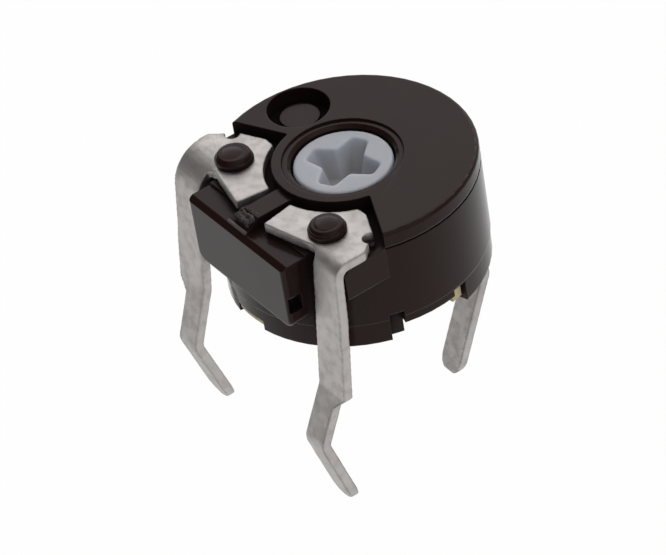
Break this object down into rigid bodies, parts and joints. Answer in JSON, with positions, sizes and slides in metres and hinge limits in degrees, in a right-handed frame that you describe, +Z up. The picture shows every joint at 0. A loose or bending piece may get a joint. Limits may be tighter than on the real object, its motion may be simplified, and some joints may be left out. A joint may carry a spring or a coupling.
{
  "type": "trimmer potentiometer",
  "caption": "Small round board-mounted trimmer potentiometer with a top cross-recess rotor, moulded housing and kinked tinned pins.",
  "frame": {"origin": "point on the rotor axis in the board plane, which lies at the sloping shoulders of the front pins", "axes": "+Z up along the rotor axis, -Y towards the pair of track pins, +Y towards the wiper pin"},
  "size_m": [0.0064, 0.0068, 0.0078],
  "materials": {
    "housing_plastic": "dark brown moulded plastic, satin",
    "rotor_plastic": "pale bluish-grey moulded plastic, satin",
    "spring_bronze": "rolled spring bronze",
    "laminate": "cream phenolic paper laminate",
    "carbon_film": "screened carbon film",
    "silver_film": "screened silver film",
    "tinned_sheet": "matt tin plate, scratched"
  },
  "bodies": {
    "housing_body": {"housing": "housing_plastic", "resistor_substrate": "laminate", "carbon_track": "carbon_film", "right_end_pad": "silver_film", "left_end_pad": "silver_film", "right_track_terminal": "tinned_sheet", "left_track_terminal": "tinned_sheet", "wiper_terminal": "tinned_sheet"},
    "rotor_body": {"rotor": "rotor_plastic", "wiper_contact": "spring_bronze"}
  },
  "joints": [
    {"name": "rotor_turn", "type": "hinge", "parent": "housing_body", "child": "rotor_body", "pos_m": [0, 0, 0.003], "axis": [0, 0, 1], "range_deg": [-117.5, 117.5]}
  ]
}
